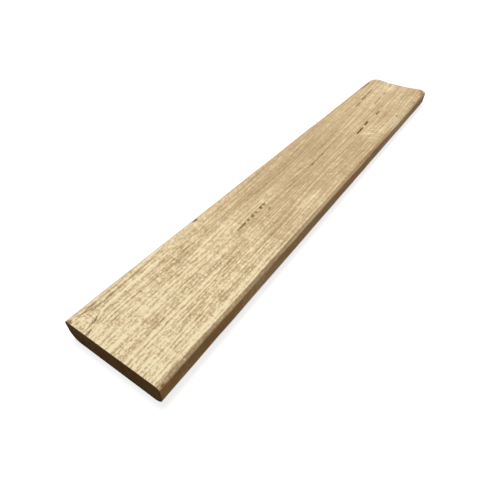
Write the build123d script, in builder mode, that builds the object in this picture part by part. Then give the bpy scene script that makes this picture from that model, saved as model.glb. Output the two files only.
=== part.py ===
"""One plank of planed hardwood, lying on its back face.

The frame is in millimetres: +X runs along the grain from the sawn end to the worn end, +Y to the left of
someone looking that way, and +Z up. The origin is on the floor under the middle of the plank.
"""

import os

from build123d import *

# Overall size of the board
length = 600.0  # from the sawn end to the furthest point of the worn end
width = 92.0
thickness = 22.0

# The long edges are eased, and so are the edges of the worn end
face_bevel_width = 2.5  # flat bevel of the upper edges: how far it reaches into the face
face_bevel_depth = 1.9  # and how far down the side
back_arris_radius = 8.5  # round-over of the lower edges

# The worn end, seen in plan
left_corner_radius = 13.0  # this corner reaches furthest
right_corner_radius = 11.5
shoulder_setback = 6.2  # how far the right corner stays behind the left one
slope_setback = 5.0  # the same on the slope down from the left corner
slope_from_left = 31.0
hollow_setback = 8.4  # and at the bottom of the hollow
hollow_from_right = 31.5

# Gum pockets: pointed slits along the grain that are open at the upper face. Each one has the distance from
# its end of the board to its middle, its place to the left of the centre line, its length and its width
pocket_depth = 3.0
sawn_end_pockets = [(156.0, 2.0, 15.0, 1.4)]
worn_end_pockets = [(199.0, -12.5, 22.0, 2.0), (173.0, -11.0, 14.5, 1.8), (132.5, -11.5, 13.0, 1.8)]

# Where the ends and edges stand in the frame
sawn_end = -length / 2
worn_end = length / 2
left_edge = width / 2
right_edge = -width / 2
shoulder = worn_end - shoulder_setback

# The pockets with their middles in the frame
pockets = [(sawn_end + distance, *mouth) for distance, *mouth in sawn_end_pockets]
pockets += [(worn_end - distance, *mouth) for distance, *mouth in worn_end_pockets]

with BuildPart() as plank:
    # The outline in plan: a square saw cut, two straight edges and the worn end with its rounded corners
    with BuildSketch() as outline:
        with BuildLine():
            Polyline(
                (shoulder - right_corner_radius, right_edge),
                (sawn_end, right_edge),
                (sawn_end, left_edge),
                (worn_end - left_corner_radius, left_edge),
            )
            RadiusArc(
                (worn_end - left_corner_radius, left_edge),
                (worn_end, left_edge - left_corner_radius),
                left_corner_radius,
            )
            Spline(
                (worn_end, left_edge - left_corner_radius),
                (worn_end - slope_setback, left_edge - slope_from_left),
                (worn_end - hollow_setback, right_edge + hollow_from_right),
                (shoulder, right_edge + right_corner_radius),
                tangents=[(0, -1), (0, -1)],
            )
            RadiusArc(
                (shoulder, right_edge + right_corner_radius),
                (shoulder - right_corner_radius, right_edge),
                right_corner_radius,
            )
        make_face()
    extrude(amount=thickness)

    # The bevel and the round-over run along every edge of a face but the one at the saw cut
    upper_face = plank.faces().sort_by(Axis.Z)[-1]
    face_edges = upper_face.edges().sort_by(Axis.X)[1:]
    chamfer(face_edges, face_bevel_width, face_bevel_depth, reference=upper_face)
    back_edges = plank.faces().sort_by(Axis.Z)[0].edges().sort_by(Axis.X)[1:]
    fillet(back_edges, back_arris_radius)

    # The gum pockets: each mouth is a lens with its two points on a line along the grain
    with BuildSketch(Plane.XY.offset(thickness)):
        for middle, offset, mouth_length, mouth_width in pockets:
            near_point = (middle - mouth_length / 2, offset)
            far_point = (middle + mouth_length / 2, offset)
            with BuildLine():
                ThreePointArc(near_point, (middle, offset + mouth_width / 2), far_point)
                ThreePointArc(far_point, (middle, offset - mouth_width / 2), near_point)
            make_face()
    extrude(amount=-pocket_depth, mode=Mode.SUBTRACT)

plank.part.label = "plank"

os.makedirs("parts", exist_ok=True)
export_step(plank.part, "parts/plank.step")
print("plank volume", round(plank.part.volume), "mm3, box", plank.part.bounding_box().size)
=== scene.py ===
import math

import bpy
import numpy as np
from mathutils import Matrix, Vector


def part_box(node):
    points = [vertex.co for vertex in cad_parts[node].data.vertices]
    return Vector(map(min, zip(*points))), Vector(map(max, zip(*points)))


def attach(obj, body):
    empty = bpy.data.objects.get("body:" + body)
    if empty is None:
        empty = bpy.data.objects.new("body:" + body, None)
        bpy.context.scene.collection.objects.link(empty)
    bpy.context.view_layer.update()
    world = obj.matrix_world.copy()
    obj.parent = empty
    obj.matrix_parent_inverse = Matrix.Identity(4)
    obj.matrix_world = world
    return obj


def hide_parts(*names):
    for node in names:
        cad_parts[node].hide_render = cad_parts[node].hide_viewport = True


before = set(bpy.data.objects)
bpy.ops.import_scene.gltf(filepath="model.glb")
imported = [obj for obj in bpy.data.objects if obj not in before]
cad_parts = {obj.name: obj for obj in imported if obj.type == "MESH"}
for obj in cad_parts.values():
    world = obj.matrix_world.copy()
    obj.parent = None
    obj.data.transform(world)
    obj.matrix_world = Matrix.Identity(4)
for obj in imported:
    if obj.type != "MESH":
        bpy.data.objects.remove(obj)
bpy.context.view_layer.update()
print("frame loaded:", sorted(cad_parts))

mm = 0.001   # shapes are worked out in millimetres and put into the mesh in metres


def hexColor(text):
    # sRGB hex to linear red, green, blue, alpha: the usual curve with its straight foot
    parts = [int(text[i:i + 2], 16) / 255 for i in (1, 3, 5)]
    return [c / 12.92 if c <= 0.04045 else ((c + 0.055) / 1.055) ** 2.4 for c in parts] + [1.0]


def smooth(low, high, value):
    # 0 below low, 1 above high, and an S-shaped cubic between them
    t = np.clip((value - low) / (high - low), 0, 1)
    return t * t * (3 - 2 * t)


def patchyNoise(points, size, seed):
    # a random number at each corner of a box lattice of the given size, blended smoothly in between, -1 to 1
    table = np.random.default_rng(seed).random(4096) * 2 - 1
    mixers = np.array([73856093, 19349663, 83492791])   # large primes, which scatter the lattice over the table
    scaled = points / np.asarray(size, float)
    cell = np.floor(scaled).astype(np.int64)
    part = smooth(0, 1, scaled - cell)
    total = np.zeros(len(points))
    for corner in np.ndindex(2, 2, 2):
        key = np.bitwise_xor.reduce((cell + corner) * mixers, axis=1) % len(table)
        weight = np.prod(np.where(corner, part, 1 - part), axis=1)
        total += weight * table[key]
    return total


# The plank: the form follows the solid, in millimetres
plankForm = {
    "bevelWidth": 2.5, "bevelDepth": 1.9,           # flat bevel of the upper edges, into the face and down the side
    "bevelEase": 0.8,                               # radius that its corners are rubbed to
    "backArris": 8.5,                               # round-over of the lower edges
    "leftCorner": 13.0, "rightCorner": 11.5,        # corners of the worn end, in plan
    "shoulderSetback": 6.2,                         # right corner behind the left one
    "slopeSetback": 5.0, "slopeFromLeft": 31.0,     # a place on the slope of the worn end
    "hollowSetback": 8.4, "hollowFromRight": 31.5,  # the bottom of its hollow
    "columns": 168, "backColumns": 14,              # faces across the board, above and below
    "coarseStep": 2.6,                              # rows along the board where nothing happens
    "fineRows": [(0, 1.5, 0.35), (1.5, 30, 1.0), (140, 205, 0.85), (384, 480, 1.0), (555, 600, 1.4)],
    "bevelSteps": 4, "easeSteps": 3,                # steps down the bevel and round each of its corners
    "arrisSteps": 6, "sideSteps": 4,                # steps round the lower edges, and down the side
    "bulgeFrom": 0.8,                               # share of the length where rows begin to bend to the worn end
    # the worn end takes that share of the sawn end's tone, painted shade included
    "wornEndGrain": 0.5,                            # how much of the dark of a saw cut the worn end has
    "sharpAngle": 50,                               # edges that turn by more degrees than this are shaded sharp
}
plankLow, plankHigh = (np.array(corner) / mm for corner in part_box("plank"))
sawnEnd, wornEnd = plankLow[0], plankHigh[0]
halfWidth = plankHigh[1]
thickness = plankHigh[2]


def rowPlaces():
    # shares of the length: equal steps of the running sum of a row density, which is higher in the fine stretches
    length = wornEnd - sawnEnd
    along = np.linspace(0, length, 6001)   # a place about every tenth of a millimetre
    density = np.full(len(along), 1 / plankForm["coarseStep"])
    for start, stop, step in plankForm["fineRows"]:
        density[(along >= start) & (along < stop)] = 1 / step
    total = np.concatenate([[0], np.cumsum((density[1:] + density[:-1]) / 2 * np.diff(along))])
    rows = int(round(total[-1]))
    return np.interp(np.linspace(0, total[-1], rows + 1), total, along) / length


def sidePath(share, radius, setback, side):
    # one long edge in plan: a straight run, then half of the corner's quarter circle, with its outward normal
    straight = wornEnd - sawnEnd - setback - radius
    distance = share * (straight + radius * math.pi / 4)
    angle = np.clip((distance - straight) / radius, 0, None)
    x = sawnEnd + np.minimum(distance, straight) + radius * np.sin(angle)
    y = side * (halfWidth - radius * (1 - np.cos(angle)))
    return np.stack([x, y], 1), np.stack([np.sin(angle), side * np.cos(angle)], 1)


def endPath(share):
    # the worn end in plan, from the middle of one corner to the middle of the other: what is left of the two
    # quarter circles, and between them a chain of cubics through the slope and the hollow
    left, right = plankForm["leftCorner"], plankForm["rightCorner"]
    first = halfWidth - left * (1 - math.cos(math.pi / 4))
    last = -halfWidth + right * (1 - math.cos(math.pi / 4))
    y = first + share * (last - first)
    knots = np.array([halfWidth - left, halfWidth - plankForm["slopeFromLeft"],
                      -halfWidth + plankForm["hollowFromRight"], -halfWidth + right])
    setbacks = np.array([0, plankForm["slopeSetback"], plankForm["hollowSetback"], plankForm["shoulderSetback"]])
    slopes = np.zeros(4)
    slopes[1:3] = (setbacks[2:] - setbacks[:2]) / (knots[2:] - knots[:2])
    piece = np.clip(np.searchsorted(-knots, -y) - 1, 0, 2)
    width = knots[piece + 1] - knots[piece]
    t = np.clip((y - knots[piece]) / width, 0, 1)
    rise = setbacks[piece + 1] - setbacks[piece]
    a = slopes[piece] * width - rise
    b = -slopes[piece + 1] * width + rise
    setback = (1 - t) * setbacks[piece] + t * setbacks[piece + 1] + t * (1 - t) * ((1 - t) * a + t * b)
    slope = (rise + (1 - 2 * t) * ((1 - t) * a + t * b) + t * (1 - t) * (b - a)) / width
    x = wornEnd - setback
    normal = np.stack([np.ones_like(y), slope], 1) / np.sqrt(1 + slope ** 2)[:, None]
    for radius, back, side in ((left, 0, 1), (right, plankForm["shoulderSetback"], -1)):
        middle = halfWidth - radius
        inCorner = side * y > middle
        cosine = np.clip((side * y - middle) / radius, 0, 1)
        sine = np.sqrt(1 - cosine ** 2)
        x = np.where(inCorner, wornEnd - back - radius + radius * sine, x)
        normal = np.where(inCorner[:, None], np.stack([sine, side * cosine], 1), normal)
    return np.stack([x, y], 1), normal


def edgeProfile():
    # the edge from the upper face to the lower one, as inset and height with the normal's outward and upward shares:
    # a flat bevel with a small arc at each of its corners, a straight side and a large quarter circle
    wide, deep, ease, low = (plankForm[key] for key in ("bevelWidth", "bevelDepth", "bevelEase", "backArris"))
    lean = math.atan2(deep, wide)
    first = np.linspace(0, lean, plankForm["easeSteps"] + 1)
    second = np.linspace(lean, math.pi / 2, plankForm["easeSteps"] + 1)
    flat = np.linspace(0, 1, plankForm["bevelSteps"] + 1)[1:-1]
    down = np.linspace(0, 1, plankForm["sideSteps"] + 1)[1:-1]
    under = np.linspace(0, math.pi / 2, plankForm["arrisSteps"] + 1)
    firstInset = wide + ease * (math.tan(lean / 2) - np.sin(first))
    firstDrop = ease * (1 - np.cos(first))
    secondInset = ease * (1 - np.sin(second))
    secondDrop = deep + ease * (math.tan(math.pi / 4 - lean / 2) - np.cos(second))
    inset = np.concatenate([firstInset, firstInset[-1] + (secondInset[0] - firstInset[-1]) * flat, secondInset,
                            0 * down, low * (1 - np.cos(under))])
    drop = np.concatenate([firstDrop, firstDrop[-1] + (secondDrop[0] - firstDrop[-1]) * flat, secondDrop])
    height = np.concatenate([thickness - drop, (thickness - drop[-1]) * (1 - down) + low * down,
                             low * (1 - np.sin(under))])
    angle = np.concatenate([first, 0 * flat + lean, second, 0 * down + math.pi / 2, under + math.pi / 2])
    return inset, height, np.sin(angle), np.cos(angle)


def quadFaces(grid):
    # four corners of every cell of an index grid, in the order that faces outwards on this box
    return np.stack([grid[:-1, :-1], grid[:-1, 1:], grid[1:, 1:], grid[1:, :-1]], -1).reshape(-1, 4)


def buildPlank():
    # a closed box of six patches that share their borders. The edge profile is carried round the outline, the upper
    # and lower faces are blended from their borders, and the sawn end is a straight blend of the two edge profiles
    rows = rowPlaces()
    across = np.linspace(0, 1, plankForm["columns"] + 1)
    rowCount, columnCount = len(rows) - 1, plankForm["columns"]
    endPart = slice(rowCount, rowCount + columnCount + 1)   # the places of the outline that are on the worn end
    leftPlan, leftNormal = sidePath(rows, plankForm["leftCorner"], 0, 1)
    rightPlan, rightNormal = sidePath(rows, plankForm["rightCorner"], plankForm["shoulderSetback"], -1)
    endPlan, endNormal = endPath(across)
    plan = np.concatenate([leftPlan, endPlan[1:-1], rightPlan[::-1]])
    planNormal = np.concatenate([leftNormal, endNormal[1:-1], rightNormal[::-1]])
    inset, height, outward, upward = edgeProfile()
    ringCount = len(inset) - 1

    # walls: places along the outline by steps down the profile
    wall = np.zeros((len(plan), ringCount + 1, 3))
    wall[:, :, :2] = plan[:, None] - planNormal[:, None] * inset[None, :, None]
    wall[:, :, 2] = height
    wallNormal = np.zeros_like(wall)
    wallNormal[:, :, :2] = planNormal[:, None] * outward[None, :, None]
    wallNormal[:, :, 2] = upward

    def faceGrid(border, z):
        # straight lines between the two long borders, plus the bulge of the worn end faded in over the last stretch
        left, right = border[:rowCount + 1], border[::-1][:rowCount + 1]
        end = border[endPart]
        grid = left[:, None] * (1 - across[None, :, None]) + right[:, None] * across[None, :, None]
        bulge = end - (end[0] * (1 - across[:, None]) + end[-1] * across[:, None])
        grid = grid + smooth(plankForm["bulgeFrom"], 1, rows)[:, None, None] * bulge[None]
        return np.concatenate([grid, np.full(grid.shape[:2] + (1,), z)], 2)

    upper = faceGrid(wall[:, 0, :2], thickness)
    lower = faceGrid(wall[:, -1, :2], 0)
    cap = wall[0][None] * (1 - across[:, None, None]) + wall[-1][None] * across[:, None, None]

    # one number for each vertex, shared where patches meet
    upperIndex = np.arange(upper.shape[0] * upper.shape[1]).reshape(upper.shape[:2])
    count = upperIndex.size
    border = np.concatenate([upperIndex[:, 0], upperIndex[-1, 1:-1], upperIndex[::-1, -1]])
    wallIndex = np.zeros(wall.shape[:2], int)
    wallIndex[:, 0] = border
    wallIndex[:, 1:] = count + np.arange(len(plan) * ringCount).reshape(len(plan), ringCount)
    count += len(plan) * ringCount
    capIndex = np.zeros(cap.shape[:2], int)
    capIndex[:, 0] = upperIndex[0]
    capIndex[0], capIndex[-1] = wallIndex[0], wallIndex[-1]
    capIndex[1:-1, 1:] = count + np.arange((columnCount - 1) * ringCount).reshape(columnCount - 1, ringCount)
    count += (columnCount - 1) * ringCount
    stride = columnCount // plankForm["backColumns"]
    lowerIndex = np.zeros((rowCount + 1, plankForm["backColumns"] + 1), int)
    lowerIndex[:, 0] = wallIndex[:rowCount + 1, -1]
    lowerIndex[:, -1] = wallIndex[::-1, -1][:rowCount + 1]
    innerShape = (rowCount - 1, plankForm["backColumns"] - 1)
    lowerIndex[1:-1, 1:-1] = count + np.arange(innerShape[0] * innerShape[1]).reshape(innerShape)
    endRow = wallIndex[endPart, -1]
    sawnRow = capIndex[:, -1]
    lowerIndex[0], lowerIndex[-1] = sawnRow[::stride], endRow[::stride]

    parts = [(upper, (0, 0, 1)), (wall[:, 1:], wallNormal[:, 1:]), (cap[1:-1, 1:], (-1, 0, 0)),
             (lower[1:-1, stride:-1:stride], (0, 0, -1))]
    points = np.concatenate([part.reshape(-1, 3) for part, normal in parts])
    normals = np.concatenate([np.broadcast_to(normal, part.shape).reshape(-1, 3) for part, normal in parts])
    endGrain = np.zeros(len(points))
    endGrain[capIndex] = 1
    endGrain[wallIndex[endPart]] = plankForm["wornEndGrain"] * wallNormal[endPart, :, 0]

    quads = np.concatenate([quadFaces(upperIndex), quadFaces(wallIndex.T), quadFaces(capIndex.T[::-1]),
                            quadFaces(lowerIndex[1:-1].T)])
    faces = quads.tolist()
    for column in range(plankForm["backColumns"]):   # the two rows of the lower face that meet finer patches
        fine = slice(column * stride, (column + 1) * stride + 1)
        faces.append([lowerIndex[1, column], lowerIndex[1, column + 1], *sawnRow[fine][::-1].tolist()])
        faces.append([lowerIndex[-2, column + 1], lowerIndex[-2, column], *endRow[fine].tolist()])
    return points, normals, endGrain, faces


points, normals, endGrain, faces = buildPlank()
print("plank form:", len(points), "vertices,", sum(len(face) - 2 for face in faces), "triangles")

# How the grain runs, in millimetres. Places are along from the sawn end and across from the left edge
grainRun = {
    "pith": (-160.0, -30.0),                  # heart of the tree, across and up: the rings stand nearly upright
    "pithReach": 190,                         # about how far off it is, which turns angles into millimetres
    "leftSlope": 0.036, "rightSlope": 0.002,  # lines drift to the left as they go along
    # how far the lines sway from straight, with the size and seed of the sway
    "sways": [(0.25, (170, 34, 60), 3), (0.04, (45, 12, 30), 4)],
    "knot": (2.0, 13.0), "knotCore": 3.0,     # a small knot that the saw went through
    "knotReach": (13.0, 15.0),                # how far round it, along and across, the lines bend
    "knotPush": 8.0,                          # and how far it pushes them aside
}


def grainPlaces(points):
    # along, across and depth of every vertex as the fibres see it. Across is the distance from the heart of the tree,
    # straightened by the drift, swayed by slow noise and pushed aside round the knot
    along = points[:, 0] - sawnEnd
    fromLeft = halfWidth - points[:, 1]
    share = fromLeft / (2 * halfWidth)
    slope = grainRun["leftSlope"] * (1 - share) + grainRun["rightSlope"] * share
    pithAcross, pithUp = grainRun["pith"]
    radius = np.hypot(fromLeft - pithAcross, points[:, 2] - pithUp)
    turn = np.arctan2(points[:, 2] - pithUp, fromLeft - pithAcross)
    sway = sum(far * patchyNoise(points, size, seed) for far, size, seed in grainRun["sways"])
    knotAlong, knotAcross = grainRun["knot"]
    reachAlong, reachAcross = grainRun["knotReach"]
    away = np.tanh((fromLeft - knotAcross) / grainRun["knotCore"])
    push = grainRun["knotPush"] * away * np.exp(-((along - knotAlong) / reachAlong) ** 2
                                                - ((fromLeft - knotAcross) / reachAcross) ** 2)
    return np.stack([along, radius + slope * along + sway - push, turn * grainRun["pithReach"]], 1)


# Marks on the upper face, drawn as strokes: path along and across, half width, depth, and darkness (light below 0)
marks = {
    "gumPockets": [
        ([(148.5, 44.8), (163.5, 43.9)], 0.9, 1.6, 0.22), ([(149.5, 44.8), (152.5, 44.6)], 0.9, 0, 0.25),
        ([(153.6, 44.5), (157.6, 44.3)], 1.1, 0, 0.32), ([(158.8, 44.2), (162.8, 43.9)], 1.2, 0, 0.36),
        ([(389.5, 58.9), (412.5, 58.1)], 1.5, 2.6, 0.72), ([(419.4, 57.4), (434.6, 56.6)], 1.7, 2.4, 0.74),
        ([(460.5, 57.8), (474.5, 57.2)], 1.4, 2.0, 0.62),
    ],
    "pinMarks": [
        ([(165.4, 44.3), (168.8, 43.3)], 2.2, 0.7, 0.54), ([(172.4, 44.2), (177.0, 42.8)], 2.4, 1.0, 0.58),
        ([(179.4, 43.8), (182.6, 42.8)], 2.3, 0.7, 0.52), ([(187.8, 43.6), (191.8, 42.2)], 2.4, 1.0, 0.58),
        ([(194.4, 43.2), (197.6, 42.2)], 2.3, 0.6, 0.50), ([(191.0, 51.0), (196.2, 50.2)], 1.7, 0.4, 0.42),
        ([(208.4, 25.3), (216.1, 24.5)], 1.0, 0.2, 0.34), ([(227.4, 25.0), (229.4, 24.9)], 1.3, 0.2, 0.34),
        ([(252.4, 25.8), (254.8, 25.6)], 1.3, 0.2, 0.32), ([(289.6, 47.0), (292.6, 46.8)], 1.8, 0.5, 0.54),
        ([(316.0, 46.2), (319.2, 46.0)], 1.8, 0.5, 0.46),
    ],
    "nicks": [
        ([(137.0, 3.4), (141.2, 3.9)], 2.2, 0.6, 0.75), ([(470.4, 82.6), (475.0, 83.4)], 2.6, 0.5, 0.52),
        ([(531.6, 87.8), (535.4, 88.6)], 2.6, 0.5, 0.44), ([(0.2, 3.0), (1.2, 6.4)], 2.8, 0.5, 0.46),
        ([(2.4, 91.6), (4.4, 91.7)], 1.2, 0.4, 0.40), ([(110, 62.8), (113.5, 61.2), (118, 60.4)], 1.5, 0.2, 0.20),
        # the last: painted shade on the bevel round the right corner of the worn end, over a shallow cut
        ([(566, 88.6), (578, 88.4), (588, 83.0)], 3.4, 0.3, 0.34),
    ],
    "veins": [
        ([(-1, 24.4), (5.2, 22.6)], 1.3, 0.25, 0.48), ([(8.6, 19.5), (12.1, 18.6), (15.8, 16.6)], 1.4, 0.35, 0.66),
        ([(5.6, 20.2), (8.4, 19.6)], 1.0, 0.1, 0.36), ([(15.4, 16.8), (24, 12.8), (33, 11.0)], 1.1, 0.15, 0.24),
        ([(4.6, 6.9), (10, 6.7), (24, 5.6)], 1.0, 0.15, 0.42), ([(2.4, 10.4), (4.6, 11.2)], 1.3, 0.1, 0.14),
        ([(9.6, 10.6), (18, 9.8), (36, 9.4)], 1.0, 0.1, 0.24), ([(12.6, 13.2), (15.4, 12.4)], 1.0, 0.1, 0.30),
        ([(2.4, 20.4), (6.4, 19.9), (9.4, 19.8)], 1.0, 0.1, 0.26),
        ([(11, 22.6), (20, 22.4), (50, 21.6)], 1.0, 0.1, 0.20), ([(20, 17.4), (26, 17.2)], 0.9, 0.1, 0.24),
        ([(470, 24.5), (492, 23.2)], 1.7, 0.3, 0.46), ([(499, 22.2), (520, 21.2)], 1.9, 0.4, 0.56),
        ([(521, 20.9), (549, 19.6)], 1.7, 0.3, 0.44), ([(495, 43.0), (528, 40.8)], 1.6, 0.2, 0.36),
        ([(535, 42.0), (550, 40.6)], 1.8, 0.2, 0.26), ([(538, 3.0), (575, 3.8)], 2.8, 0.2, 0.34),
        ([(208, 25.8), (274, 25.0), (359, 22.2)], 4.6, 0.1, 0.07),
        ([(200, 48.8), (284, 47.4), (322, 46.0), (380, 44.0)], 1.2, 0.2, 0.13),
        ([(0, 34.2), (50, 33.4), (100, 31.4)], 1.1, 0.15, 0.16), ([(0, 57.4), (130, 57.0)], 1.0, 0.12, 0.14),
        ([(24, 80.6), (130, 80.0)], 1.1, 0.12, 0.16), ([(8, 85.2), (44, 83.4)], 1.1, 0.12, 0.16),
        ([(26, 9.6), (93, 7.0)], 1.1, 0.12, 0.15), ([(243, 79.4), (274, 81.0)], 1.2, 0.12, 0.16),
        ([(318, 69.2), (362, 68.6)], 1.2, 0.1, 0.10), ([(346, 83.2), (366, 82.8)], 1.4, 0.1, 0.10),
    ],
    "lightStreaks": [
        ([(14, 19.6), (22, 15.6), (34, 14.4), (62, 13.8), (78, 12.8), (126, 12.4)], 2.0, 0, -0.24),
        ([(30, 87.6), (90, 87.2), (148, 87.8)], 2.6, 0, -0.10),
        ([(0, 46.2), (56, 46.0)], 1.8, 0, -0.12), ([(103, 50.4), (132, 49.8)], 2.4, 0, -0.14),
        ([(208, 66.2), (347, 65.2)], 1.3, 0, -0.16), ([(210, 75.8), (250, 76.4)], 2.6, 0, -0.14),
        ([(306, 68.5), (310, 74.0), (315, 79.5)], 1.6, 0, -0.20), ([(280, 69.2), (288.7, 76.5)], 1.6, 0, -0.16),
        ([(393.4, 64.6), (404, 77.8)], 1.8, 0, -0.20), ([(385.5, 73.0), (392, 79.5)], 1.8, 0, -0.16),
        ([(560, 40.4), (580, 39.6)], 3.0, 0, -0.10), ([(345, 52.6), (372, 51.8)], 2.4, 0, -0.12),
    ],
}
# Paler and darker patches of the figure: along, across, half length, half width, lean, and darkness
patches = [
    (9, 14, 15, 15, 0, 0.10), (44, 7, 34, 4.5, 0, 0.12), (46, 23, 22, 4, 0, 0.11), (26, 41, 16, 4.5, 0, 0.10),
    (81, 46, 8, 3.6, 0, 0.13), (99, 48, 5, 2.4, 0, 0.12), (53, 74, 3.2, 5, 0.5, 0.12), (67, 76, 3.2, 4, 0.5, 0.10),
    (79, 76.5, 4.5, 4, 0.5, 0.14), (94, 76, 3.5, 3.6, 0.5, 0.12), (109, 76, 4, 3.6, 0.5, 0.12),
    (136, 21, 4, 6, 0, 0.10), (114, 59, 7, 4, 0, 0.12), (151, 48.6, 9, 2.2, 0, 0.10), (91, 16.4, 10, 2.4, 0, 0.10),
    (196, 22, 16, 7, 0, 0.08),
    (184, 70, 22, 7, 0, 0.09), (240, 23, 50, 4.5, 0, 0.08), (330, 21, 40, 6, 0, 0.06), (168, 47, 22, 6, 0, 0.07),
    (490, 17, 26, 5.5, 0, 0.10), (548, 70, 12, 5, 0, 0.10), (572, 76, 18, 10, 0, 0.10), (465, 66, 30, 3, 0, 0.06),
    (6, 88, 16, 3.2, 0, 0.14), (196, 87, 18, 3, 0, 0.07), (3.4, 16, 3.2, 2.6, 0, -0.16), (426, 18.5, 24, 5, 0, 0.09),
    (4, 54, 14, 3, 0, -0.14), (126, 69.5, 14, 4, 0, -0.12), (230, 83, 16, 6, 0, -0.13), (558, 61, 22, 3.4, 0, 0.10),
    (560, 7, 16, 4, 0, 0.11), (116, 44, 30, 3.4, 0, 0.07), (222, 16.5, 14, 4, 0, 0.08), (22, 68, 24, 9, 0, -0.07),
    (148, 36, 9, 5, 0, -0.09), (142, 64, 13, 6, 0, -0.07), (199, 38, 4.5, 2, 0, -0.12), (222, 36, 14, 4, 0, -0.09),
    (222, 74, 20, 6, 0, -0.15), (405, 74, 22, 8, 0, -0.14), (520, 30, 30, 5, 0, -0.07), (566, 40, 16, 6, 0, -0.08),
    (582, 11, 10, 7, 0, 0.10), (405, 51, 12, 3, 0, -0.10), (62, 44, 26, 4, 0, -0.05), (445, 82, 26, 4, 0, -0.06),
]


def stroke(along, across, path, width, tip=0.35, core=0.2):
    # nearness to a broken line: 1 on its core and 0 beyond the width, which shrinks to the tip's share at both ends
    best = np.zeros(len(along))
    corners = np.array(path, float)
    runs = np.hypot(*np.diff(corners, axis=0).T)
    before = np.concatenate([[0], np.cumsum(runs)])
    for start, stop, run, done in zip(corners[:-1], corners[1:], runs, before):
        direction = (stop - start) / run
        travel = np.clip((along - start[0]) * direction[0] + (across - start[1]) * direction[1], 0, run)
        distance = np.hypot(along - start[0] - travel * direction[0], across - start[1] - travel * direction[1])
        place = (done + travel) / before[-1]
        taper = tip + (1 - tip) * np.sqrt(np.clip(4 * place * (1 - place), 0, 1))
        best = np.maximum(best, 1 - smooth(core, 1, distance / (width * taper)))
    return best


# Relief of the worked surface, in millimetres, all of it cut inwards
relief = {
    "furrow": 0.16, "fibre": 0.07, "swell": 0.14,            # lines of the grain, and a slow swell of the face
    "arrisWear": 0.5,                                        # worn edges
    "endWear": 0.9,                                          # ragged worn end
    "endStep": 2.3, "stepAcross": 31.5, "stepBreadth": 2.6,  # the small step in it
    "stepFade": (-20, -7),                                   # where the step begins, counted from the worn end
    "sawMark": 0.1, "sawPitch": 1.9,                         # marks of the saw: depth and spacing
    "sawLean": 0.22, "sawWobble": 0.5,                       # and how they lean and wander
    # from which unevenness furrows and fibres begin, and where they are full
    "furrowFrom": (0.05, 0.75), "furrowPatchFrom": (-0.5, 0.3), "fibreFrom": (0.0, 0.8),
    "raggedShares": (0.6, 0.4),                              # broad and fine raggedness of the worn end
    "patchFall": (0.7, 1.5), "patchBreak": (0.75, 0.5),      # how a patch fades outwards, and how broken it is
    # unevenness that breaks these up: what it follows, its size along, across and up, and its seed
    "uneven": {
        "furrowLines": ("grain", (85, 1.5, 7), 11), "furrowPatches": ("grain", (40, 9, 20), 12),
        "fibreLines": ("grain", (13, 1.0, 3), 13), "swellHills": ("board", (90, 24, 24), 14),
        "wearPatches": ("board", (22, 14, 14), 15), "raggedBroad": ("board", (40, 6, 30), 16),
        "raggedFine": ("board", (40, 2.2, 12), 17), "sawSway": ("board", (9, 12, 6), 18),
        "patchBreaks": ("board", (5, 3, 4), 21),
    },
}

grain = grainPlaces(points)
along = points[:, 0] - sawnEnd
across = halfWidth - points[:, 1]
followed = {"grain": grain, "board": points}
uneven = {name: patchyNoise(followed[what], size, seed) for name, (what, size, seed) in relief["uneven"].items()}
upness = np.abs(normals[:, 2])      # 1 on the upper and lower face, 0 on the sides
upperSide = normals[:, 2] > 0.05    # face and bevel
atSawnEnd = normals[:, 0] < -0.99   # the flat of the saw cut
atWornEnd = np.clip(normals[:, 0], 0, 1)
onArris = 4 * upness * (1 - upness) * ~atSawnEnd   # 1 halfway round an edge
furrow = smooth(*relief["furrowFrom"], uneven["furrowLines"])
furrow *= smooth(*relief["furrowPatchFrom"], uneven["furrowPatches"])
fibre = smooth(*relief["fibreFrom"], uneven["fibreLines"])
swell = 0.5 + 0.5 * uneven["swellHills"]
wear = onArris * (0.5 + 0.5 * uneven["wearPatches"]) ** 2
broadShare, fineShare = relief["raggedShares"]
ragged = np.clip(broadShare * uneven["raggedBroad"] + fineShare * uneven["raggedFine"], 0, 1)
sawPlace = across + relief["sawLean"] * points[:, 2] + relief["sawWobble"] * uneven["sawSway"]
sawMarks = 0.5 + 0.5 * np.sin(sawPlace * 2 * math.pi / relief["sawPitch"])
depth = (relief["furrow"] * furrow + relief["fibre"] * fibre) * ~atSawnEnd + relief["sawMark"] * sawMarks * atSawnEnd
depth += relief["swell"] * swell * (normals[:, 2] > 0.5) + relief["arrisWear"] * wear
depth += relief["endWear"] * ragged * atWornEnd

# the marks and patches: what they cut, and how they stain
# stain of the marks and patches, which also takes the painted shade of the bevel, the sides and a worn-end corner
stain = np.zeros(len(points))
hollow = np.zeros(len(points))
for path, width, cut, darkness in sum(marks.values(), []):
    nearness = stroke(along[upperSide], across[upperSide], path, width)
    stain[upperSide] += darkness * nearness
    hollow[upperSide] = np.maximum(hollow[upperSide], cut * nearness)
evenPart, brokenPart = relief["patchBreak"]
broken = evenPart + brokenPart * uneven["patchBreaks"]
steepness, power = relief["patchFall"]
for middle, offset, halfLength, halfBreadth, lean, darkness in patches:
    alongPatch = (along - middle - lean * (across - offset)) / halfLength
    away = alongPatch ** 2 + ((across - offset) / halfBreadth) ** 2
    stain += darkness * np.exp(-steepness * away ** power) * broken * upperSide
depth += hollow
depth *= points[:, 2] > 0   # the back stays flat on the floor
points = points - normals * depth[:, None]
endStep = np.exp(-((across - relief["stepAcross"]) / relief["stepBreadth"]) ** 2)
points[:, 0] -= relief["endStep"] * endStep * smooth(*relief["stepFade"], points[:, 0] - wornEnd)
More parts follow.
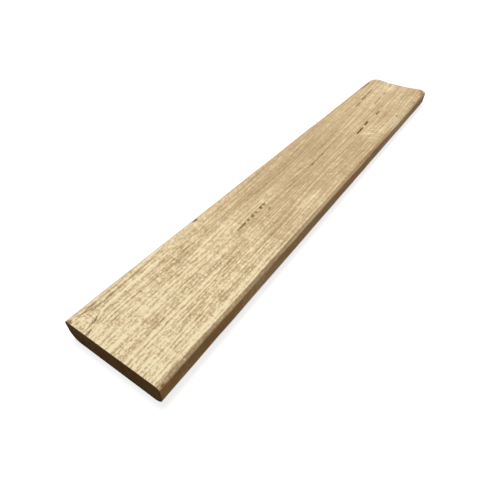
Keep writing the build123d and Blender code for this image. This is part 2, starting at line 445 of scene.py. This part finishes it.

# The edges show less figure than the face. The bevel and the sides get painted shade, darkest by the sawn end and
# lighter in a few stretches, and the sides by the sawn end a painted warm brown shade
edgeLook = {
    # upward share of the normal: where a side passes into the bevel, and the bevel into the face
    "sideToBevel": (0.1, 0.65), "bevelToFace": (0.82, 0.96), "calmToBevel": (0.2, 0.75),
    # place along the board, and how strong it is there
    # painted warm shade on the sides, strongest by the sawn end
    "sideShadeAlong": [(65, 0.55), (100, 0.15), (130, 0.03)],
    # painted shade on the bevel along the board, painted light where below 0
    "bevelShadeAndLight": [(70, 0.35), (125, 0.34), (160, 0.16), (240, 0.02), (310, 0.15), (400, 0.10), (440, -0.06),
                   (500, 0.02), (545, 0.26)],
    # painted shade on the sides along the board, painted light where below 0
    "sideShadeAndLight": [(65, 0.25), (100, 0.08), (170, 0.06), (210, 0.0), (390, 0.01), (430, -0.09), (500, -0.09),
                  (530, 0.14)],
}
sideShadeAlong, bevelShadeAndLight, sideShadeAndLight = (np.interp(along, *zip(*edgeLook[name]))
                                for name in ("sideShadeAlong", "bevelShadeAndLight", "sideShadeAndLight"))
calm = 1 - 0.5 * smooth(*edgeLook["calmToBevel"], upness) - 0.5 * smooth(*edgeLook["bevelToFace"], upness)
side = calm * ~atSawnEnd   # 1 on the sides, half on the bevel, 0 on the faces
onSide = (1 - smooth(*edgeLook["sideToBevel"], upness)) * ~atSawnEnd
onBevel = smooth(*edgeLook["sideToBevel"], normals[:, 2]) - smooth(*edgeLook["bevelToFace"], normals[:, 2])
# painted warm shade on the sides by the sawn end
edge = onSide * sideShadeAlong
# painted shade and light of the bevel and sides, added to the stain of the marks
stain += onBevel * bevelShadeAndLight
stain += onSide * sideShadeAndLight
print("relief cut: deepest", round(float(depth.max()), 2), "mm")

plankMesh = bpy.data.meshes.new("plankSurface")
plankMesh.from_pydata((points * mm).tolist(), [], faces)
plankMesh.validate()
plankMesh.polygons.foreach_set("use_smooth", np.ones(len(plankMesh.polygons), bool))
plankMesh.set_sharp_from_angle(angle=math.radians(plankForm["sharpAngle"]))
for name, values in {"stain": stain, "furrow": furrow, "endGrain": endGrain, "side": side, "edge": edge}.items():
    plankMesh.attributes.new(name, "FLOAT", "POINT").data.foreach_set("value", values.astype(np.float32))
grainLayer = plankMesh.attributes.new("grain", "FLOAT_VECTOR", "POINT")
grainLayer.data.foreach_set("vector", (grain * mm).astype(np.float32).ravel())
plankPiece = bpy.data.objects.new("plankSurface", plankMesh)
bpy.context.collection.objects.link(plankPiece)
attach(plankPiece, "root")
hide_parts("plank")


def addNode(tree, kind, settings=None, links=None):
    # a node with its settings, each an input's value or a property, and what is linked into its inputs
    node = tree.nodes.new(kind)
    for name, value in (settings or {}).items():
        if name == "ramp":
            stops = node.color_ramp.elements
            while len(stops) < len(value):
                stops.new(0.5)
            for stop, (place, color) in zip(stops, value):
                stop.position, stop.color = place, color
        elif isinstance(name, int) or name in node.inputs:
            node.inputs[name].default_value = value
        else:
            setattr(node, name, value)
    for name, source in (links or {}).items():
        tree.links.new(source, node.inputs[name])
    return node


def addUp(tree, parts, total=None):
    # the sum of every output times its weight, a number or another output, on top of a total where there is one
    for source, weight in parts:
        settings, links = {"operation": "MULTIPLY_ADD", 2: 0.0}, {0: source}
        if total is not None:
            links[2] = total
        (links if isinstance(weight, bpy.types.NodeSocket) else settings)[1] = weight
        total = addNode(tree, "ShaderNodeMath", settings, links).outputs[0]
    return total


# Oak, quarter sawn, planed and left raw. The eye gets straight fine lines with dark pore dashes, paler and darker
# patches across them where the rays come to the surface, and a matt face that is darker on the sawn end, where end
# grain's own tone is deepened with painted shade
oakFinish = {
    # tones from dark to light, which the pattern picks from
    "tones": [(0.0, "#785e40"), (0.25, "#997e5d"), (0.5, "#bba17b"), (0.62, "#c8ae87"), (0.7, "#d1b78f"),
              (0.78, "#dfc9a2"), (0.86, "#e9d4ac"), (1.0, "#f4e5bd")],
    # noises: size in millimetres along, across and through the board, and detail. Real fibres and pores are a few
    # tenths of a millimetre broad, and are drawn coarser so that they show
    "noises": {
        "patches": ((120, 26, 60), 1), "bands": ((200, 15, 40), 1), "fibres": ((22, 1.8, 8), 1),
        "dashes": ((5, 0.75, 3), 1), "mottle": ((8, 6, 6), 3), "rays": ((1.2, 6, 9), 1),
        "streaks": ((40, 14, 20), 1), "broadLines": ((300, 4, 30), 1), "rings": ((420, 2.1, 30), 0),
        "fineLines": ((60, 1.7, 12), 0), "thinLines": ((500, 3.0, 40), 0), "hairLines": ((110, 2.2, 20), 0),
        "pores": ((7, 0.9, 3), 0), "knifeMarks": ((1.5, 30, 20), 0), "grit": ((2.0, 0.9, 2), 0),
        "clouds": ((9, 16, 15), 1),
    },
    "noiseShift": (1.3, 7.7, 1.3), "noiseRoughness": 0.7,  # steps that keep the noises apart, and their harshness
    # how much of each goes into the lines, into the specks between them, and evenly into the whole figure
    "lines": {"broadLines": 0.03, "rings": 0.25, "fineLines": 0.05},
    "specks": {"dashes": 0.08, "rays": 0.06, "knifeMarks": 0.15, "grit": 0.18, "clouds": 0.14},
    "figure": {"patches": 0.04, "bands": 0.06, "streaks": 0.04, "fibres": 0.03, "mottle": 0.03},
    # thin dark lines of early wood: half width as a share of their noise, and darkness
    "thin": {"thinLines": (0.11, 0.21), "hairLines": (0.15, 0.18)},
    "thinFade": 0.35, "thinFaintest": 0.65,                # where they fade, and strength that is left there
    "ringPitch": 4.0, "ringSway": 9.0, "ringTone": 0.14,   # growth rings: spacing, unevenness and strength
    # rows of fibres: breadth of a row and length of one tone along it, in millimetres, and strength
    "rows": [(1.2, 6.0, 0.17), (2.8, 8.0, 0.05), (0.75, 2.0, 0.38)],
    "rowRagged": 0.15, "rowApart": 5.37, "rowDetail": 1,   # raggedness in millimetres, steps between their noises
    "flecks": (5.0, 1.7, 6.0), "fleckTone": 0.10,          # blocks of one tone where rays meet the surface
    "fleckRandom": 0.9,
    "poreFrom": (0.16, 0.44), "poreDark": 0.12,            # open pores: where in their noise they begin and are full
    "furrowDark": 0.08,
    # share of the length, middle tone, contrast, and strength of the lines and of the specks: the sawn end is palest
    # and liveliest, its pale middle tone partly a painted sheen of the lamp over the wood's own tone
    "alongBoard": [(0.0, 0.955, 0.84, 0.98, 1.0), (0.17, 0.865, 0.86, 0.9, 0.95), (0.25, 0.78, 0.76, 0.7, 0.72),
                   (0.38, 0.68, 0.66, 0.75, 0.58), (0.5, 0.665, 0.56, 0.85, 0.66), (0.62, 0.66, 0.52, 0.85, 0.62),
                   (0.7, 0.735, 0.55, 0.8, 0.6), (1.0, 0.745, 0.55, 0.8, 0.6)],
    "sideCalm": 0.7,                                       # share of the figure that the sides lose
    # the sawn end: end grain's own darker tone deepened by painted shade; the sides: painted warm shade
    "endGrainAndShadeTone": "#806f5b", "sideShadeTone": "#d2b992",           # what the sawn end and the edges are multiplied by
    "roughness": (0.62, 0.85), "roughFibre": 0.6,          # smoothest and roughest, and the fibres' range between them
    "ior": 1.5, "specular": 0.06,                          # raw wood hardly shines
    "bump": 0.35, "bumpDepth": 0.25,                       # strength, and depth in millimetres
}

timber = bpy.data.materials.new("planedOak")
timber.use_nodes = True
tree = timber.node_tree
shader = tree.nodes["Principled BSDF"]
layers = {name: addNode(tree, "ShaderNodeAttribute", {"attribute_name": name})
          for name in ("grain", "stain", "furrow", "endGrain", "side", "edge")}
grainPlace = layers["grain"].outputs["Vector"]
stainedAndShaded, furrowed, sawn, calmed, sideShaded = (layers[name].outputs["Fac"]
                                          for name in ("stain", "furrow", "endGrain", "side", "edge"))

noises = {}
softNoise = {"normalize": False, "Scale": 1.0, "Roughness": oakFinish["noiseRoughness"]}   # noise about zero
stepAlong, stepAcross, shiftThrough = oakFinish["noiseShift"]
for count, (name, (size, detail)) in enumerate(oakFinish["noises"].items()):
    shift = (stepAlong * count, stepAcross * count, shiftThrough)
    mapping = addNode(tree, "ShaderNodeMapping", {"Scale": [1 / (s * mm) for s in size], "Location": shift},
                      {"Vector": grainPlace})
    noises[name] = addNode(tree, "ShaderNodeTexNoise", {**softNoise, "Detail": detail},
                           {"Vector": mapping.outputs["Vector"]}).outputs["Fac"]

# thin dark lines run where a long stretched noise crosses zero, and come and go along the board
fade = oakFinish["thinFade"]
comeAndGo = addNode(tree, "ShaderNodeMapRange", {"interpolation_type": "SMOOTHSTEP", "From Min": -fade,
                    "From Max": fade, "To Min": oakFinish["thinFaintest"], "To Max": 1.0},
                    {"Value": noises["fibres"]})
lineParts = []
for name, (lineWidth, lineDark) in oakFinish["thin"].items():
    off = addNode(tree, "ShaderNodeMath", {"operation": "ABSOLUTE"}, {0: noises[name]})
    thinLine = addNode(tree, "ShaderNodeMapRange", {"interpolation_type": "SMOOTHSTEP", "From Min": lineWidth,
                       "From Max": 0.0, "To Max": -lineDark}, {"Value": off.outputs[0]})
    lineParts.append((thinLine.outputs[0], comeAndGo.outputs[0]))
lineParts += [(noises[name], weight) for name, weight in oakFinish["lines"].items()]

# growth rings, evenly spaced but for a slow sway
place = addNode(tree, "ShaderNodeSeparateXYZ", links={0: grainPlace})
turns = addUp(tree, [(place.outputs["Y"], 2 * math.pi / (oakFinish["ringPitch"] * mm)),
                     (noises["bands"], oakFinish["ringSway"])])
wave = addNode(tree, "ShaderNodeMath", {"operation": "SINE"}, {0: turns})
lines = addUp(tree, lineParts + [(wave.outputs[0], oakFinish["ringTone"])])

# specks, and rows of fibres: the place across is taken in whole steps, so each row has a noise of its own along it
speckParts = [(noises[name], weight) for name, weight in oakFinish["specks"].items()]
raggedPlace = addUp(tree, [(noises["grit"], oakFinish["rowRagged"] * mm)], place.outputs["Y"])
for breadth, toneLength, weight in oakFinish["rows"]:
    row = addNode(tree, "ShaderNodeMath", {"operation": "DIVIDE", 1: breadth * mm}, {0: raggedPlace})
    row = addNode(tree, "ShaderNodeMath", {"operation": "FLOOR"}, {0: row.outputs[0]})
    row = addNode(tree, "ShaderNodeMath", {"operation": "MULTIPLY", 1: oakFinish["rowApart"]}, {0: row.outputs[0]})
    run = addNode(tree, "ShaderNodeMath", {"operation": "DIVIDE", 1: toneLength * mm}, {0: place.outputs["X"]})
    spot = addNode(tree, "ShaderNodeCombineXYZ", links={0: run.outputs[0], 1: row.outputs[0], 2: row.outputs[0]})
    rowNoise = addNode(tree, "ShaderNodeTexNoise", {**softNoise, "Detail": oakFinish["rowDetail"]},
                       {"Vector": spot.outputs[0]})
    speckParts.append((rowNoise.outputs["Fac"], weight))
specks = addUp(tree, speckParts)

# blocky flecks, and open pores
mapping = addNode(tree, "ShaderNodeMapping", {"Scale": [1 / (s * mm) for s in oakFinish["flecks"]]},
                  {"Vector": grainPlace})
blocks = addNode(tree, "ShaderNodeTexVoronoi", {"distance": "CHEBYCHEV", "Scale": 1.0,
                 "Randomness": oakFinish["fleckRandom"]}, {"Vector": mapping.outputs["Vector"]})
blocks = addNode(tree, "ShaderNodeSeparateColor", links={0: blocks.outputs["Color"]})
blocks = addNode(tree, "ShaderNodeMath", {"operation": "SUBTRACT", 1: 0.5}, {0: blocks.outputs["Red"]})
poreFrom, poreFull = oakFinish["poreFrom"]
pores = addNode(tree, "ShaderNodeMapRange", {"interpolation_type": "SMOOTHSTEP", "From Min": poreFrom,
                "From Max": poreFull}, {"Value": noises["pores"]})

# slow change along the board: red is the middle tone, green the contrast, blue the strength of the lines, and alpha
# that of the specks
# the middle tone is higher by the sawn end: painted sheen of the lamp there, over the wood's own tone
share = addNode(tree, "ShaderNodeMath", {"operation": "DIVIDE", 1: (wornEnd - sawnEnd) * mm}, {0: place.outputs["X"]})
slow = addNode(tree, "ShaderNodeValToRGB", {"ramp": [(p, tuple(values)) for p, *values in oakFinish["alongBoard"]]},
               {"Fac": share.outputs[0]})
board = addNode(tree, "ShaderNodeSeparateColor", links={0: slow.outputs["Color"]})

# the figure of the wood, which picks the tone
figure = addUp(tree, [(lines, board.outputs["Blue"]), (specks, slow.outputs["Alpha"])]
               + [(noises[name], weight) for name, weight in oakFinish["figure"].items()]
               + [(blocks.outputs[0], oakFinish["fleckTone"]), (pores.outputs[0], -oakFinish["poreDark"]),
                  (furrowed, -oakFinish["furrowDark"])])
kept = addNode(tree, "ShaderNodeMath", {"operation": "MULTIPLY_ADD", 1: -oakFinish["sideCalm"], 2: 1.0}, {0: calmed})
contrast = addNode(tree, "ShaderNodeMath", {"operation": "MULTIPLY"}, {0: kept.outputs[0], 1: board.outputs["Green"]})
tone = addUp(tree, [(figure, contrast.outputs[0]), (stainedAndShaded, -1.0)], board.outputs["Red"])
wood = addNode(tree, "ShaderNodeValToRGB", {"ramp": [(p, hexColor(c)) for p, c in oakFinish["tones"]]}, {"Fac": tone})

# painted warm shade on the sides by the sawn end, and a sawn end dark as end grain is and darker still with painted
# shade
color = wood.outputs["Color"]
for amount, tint in ((sideShaded, oakFinish["sideShadeTone"]), (sawn, oakFinish["endGrainAndShadeTone"])):
    color = addNode(tree, "ShaderNodeMix", {"data_type": "RGBA", "blend_type": "MULTIPLY", 7: hexColor(tint)},
                    {0: amount, 6: color}).outputs[2]
tree.links.new(color, shader.inputs["Base Color"])
smoothest, roughest = oakFinish["roughness"]
fibreRange = oakFinish["roughFibre"]
rough = addNode(tree, "ShaderNodeMapRange", {"From Min": -fibreRange, "From Max": fibreRange, "To Min": roughest,
                "To Max": smoothest}, {"Value": noises["fibres"]})
rough = addNode(tree, "ShaderNodeMath", {"operation": "ADD", "use_clamp": True}, {0: sawn, 1: rough.outputs[0]})
tree.links.new(rough.outputs[0], shader.inputs["Roughness"])
shader.inputs["IOR"].default_value = oakFinish["ior"]
shader.inputs["Specular IOR Level"].default_value = oakFinish["specular"]
bump = addNode(tree, "ShaderNodeBump", {"Strength": oakFinish["bump"], "Distance": oakFinish["bumpDepth"] * mm},
               {"Height": noises["dashes"]})
tree.links.new(bump.outputs["Normal"], shader.inputs["Normal"])
plankMesh.materials.append(timber)
print("oak finish: noises", sorted(noises))

# The floor and the light. The camera sees the floor as white with the plank's soft shadow on it, and the light that
# the floor throws back is that of a warm wooden table
floorLook = {
    "half": 6.0,                        # half width, in metres
    "glow": 0.78, "paint": 0.45,        # what the camera sees
    "bounce": (0.28, 0.185, 0.11, 1),   # what the plank gets
}
floorMesh = bpy.data.meshes.new("floor")
half = floorLook["half"]
floorMesh.from_pydata([(-half, -half, 0), (half, -half, 0), (half, half, 0), (-half, half, 0)], [], [(0, 1, 2, 3)])
floor = bpy.data.objects.new("floor", floorMesh)
bpy.context.collection.objects.link(floor)
floorMaterial = bpy.data.materials.new("paleFloor")
floorMaterial.use_nodes = True
tree = floorMaterial.node_tree
tree.nodes.remove(tree.nodes["Principled BSDF"])


def seenRay(tree):
    # 1 for rays that show the background: straight to the camera, mirrored or through glass
    path = addNode(tree, "ShaderNodeLightPath")
    mirrored = addNode(tree, "ShaderNodeMath", {"operation": "MAXIMUM"},
                       {0: path.outputs["Is Camera Ray"], 1: path.outputs["Is Glossy Ray"]})
    return addNode(tree, "ShaderNodeMath", {"operation": "MAXIMUM"},
                   {0: mirrored.outputs[0], 1: path.outputs["Is Transmission Ray"]}).outputs[0]


paint = floorLook["paint"]
white = addNode(tree, "ShaderNodeBsdfDiffuse", {"Color": (paint, paint, paint, 1)})
glow = addNode(tree, "ShaderNodeEmission", {"Color": (1, 1, 1, 1), "Strength": floorLook["glow"]})
shown = addNode(tree, "ShaderNodeAddShader", links={0: white.outputs[0], 1: glow.outputs[0]})
bounce = addNode(tree, "ShaderNodeBsdfDiffuse", {"Color": floorLook["bounce"]})
mixed = addNode(tree, "ShaderNodeMixShader", links={0: seenRay(tree), 1: bounce.outputs[0], 2: shown.outputs[0]})
tree.links.new(mixed.outputs[0], tree.nodes["Material Output"].inputs["Surface"])
floorMesh.materials.append(floorMaterial)

worldLook = {"fill": 0.22}   # light from all round, where the camera sees plain white
world = bpy.data.worlds.new("studio")
bpy.context.scene.world = world
world.use_nodes = True
tree = world.node_tree
fill = worldLook["fill"]
strength = addNode(tree, "ShaderNodeMath", {"operation": "MULTIPLY_ADD", 1: 1 - fill, 2: fill}, {0: seenRay(tree)})
tree.links.new(strength.outputs[0], tree.nodes["Background"].inputs["Strength"])
tree.nodes["Background"].inputs["Color"].default_value = (1, 1, 1, 1)

# one wide soft lamp, high up and a little to the left, so that the sawn end and the right edge are in shade
lampLook = {
    "place": (0.15, 0.32, 2.15), "aim": (0.0, 0.0, 0.0), "size": (0.8, 0.8),   # in metres
    "power": 39.0,                                                             # in watts
}
lamp = bpy.data.lights.new("window", "AREA")
lamp.shape = "RECTANGLE"
lamp.size, lamp.size_y = lampLook["size"]
lamp.energy = lampLook["power"]
lampObject = bpy.data.objects.new("window", lamp)
bpy.context.collection.objects.link(lampObject)
toLamp = Vector(lampLook["place"]) - Vector(lampLook["aim"])
lampObject.matrix_world = Matrix.Translation(lampLook["place"]) @ toLamp.to_track_quat("Z", "Y").to_matrix().to_4x4()
print("floor and light set")

# The camera: place, lens and sensor in millimetres, angles in degrees
cameraView = {"place": (-360.0, -153.0, 239.1), "heading": 34.0, "tilt": 42.87, "roll": 0.13, "lens": 27.12,
              "sensor": 36}
camera = bpy.data.cameras.new("camera")
camera.sensor_width = cameraView["sensor"]
camera.lens = cameraView["lens"]
camera.clip_start = 0.01   # the near corner is close by
cameraObject = bpy.data.objects.new("camera", camera)
bpy.context.collection.objects.link(cameraObject)
cameraObject.matrix_world = (Matrix.Translation([c * mm for c in cameraView["place"]])
                             @ Matrix.Rotation(math.radians(cameraView["heading"] - 90), 4, "Z")
                             @ Matrix.Rotation(math.radians(90 - cameraView["tilt"]), 4, "X")
                             @ Matrix.Rotation(math.radians(cameraView["roll"]), 4, "Z"))
bpy.context.scene.camera = cameraObject
bpy.context.scene.view_settings.view_transform = "Standard"
